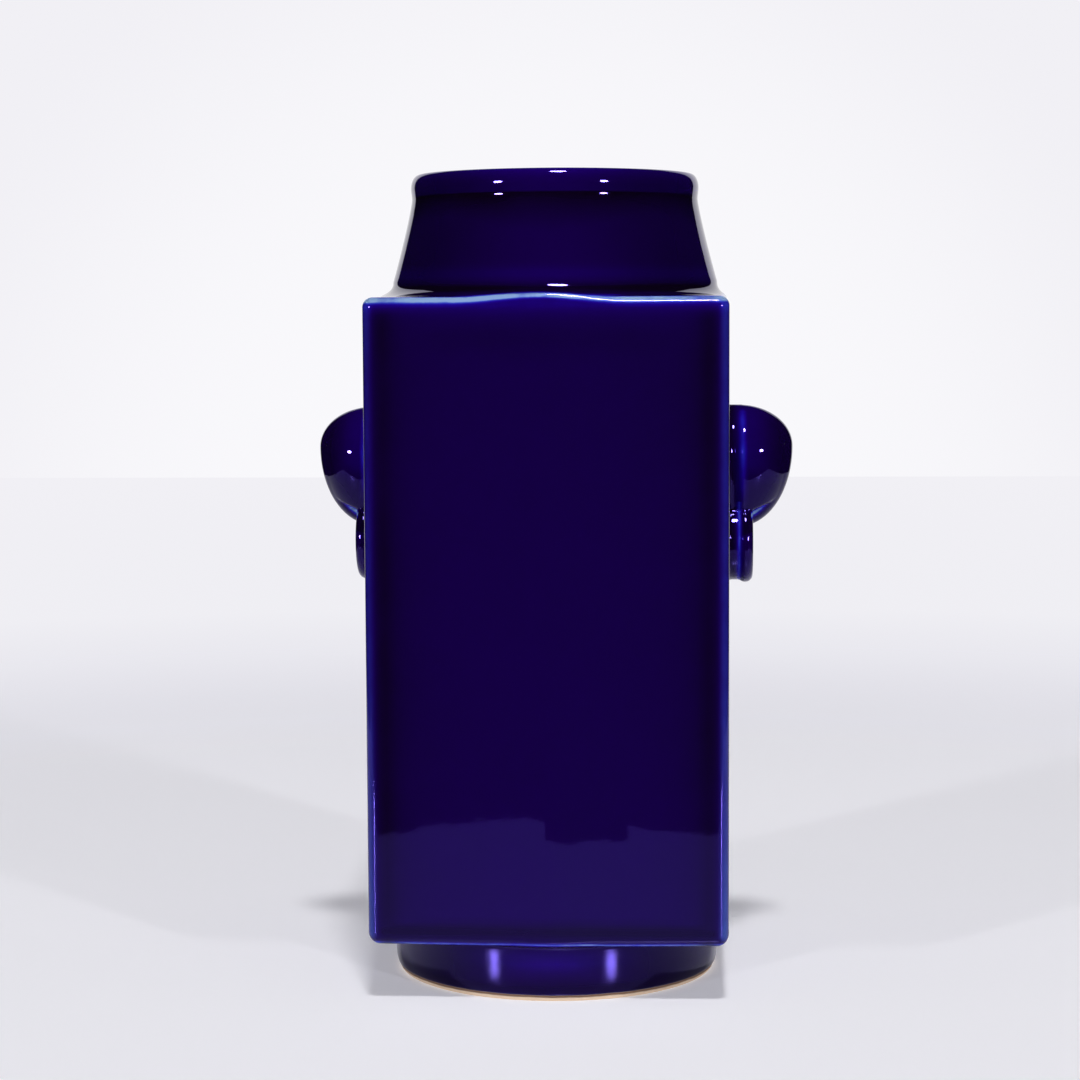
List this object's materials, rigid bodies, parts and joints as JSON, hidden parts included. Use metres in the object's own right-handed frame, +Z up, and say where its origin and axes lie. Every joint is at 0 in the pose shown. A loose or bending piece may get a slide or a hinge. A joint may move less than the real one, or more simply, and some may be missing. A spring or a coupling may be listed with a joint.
{
  "type": "square cong-form vase",
  "caption": "Upright square-section vase with a round neck and beaded lip, a round foot ring and elephant-head handles holding fixed rings, under deep blue glaze.",
  "frame": {"origin": "centre of the standing rim, in the plane that the vase stands on", "axes": "+Z up along the vase's axis; -Y out of the front face; the handles on the +X and -X faces"},
  "size_m": [0.173, 0.1266, 0.29],
  "materials": {
    "cobalt_glaze": "gloss"
  },
  "bodies": {
    "root": {"vase": "cobalt_glaze"}
  },
  "joints": []
}
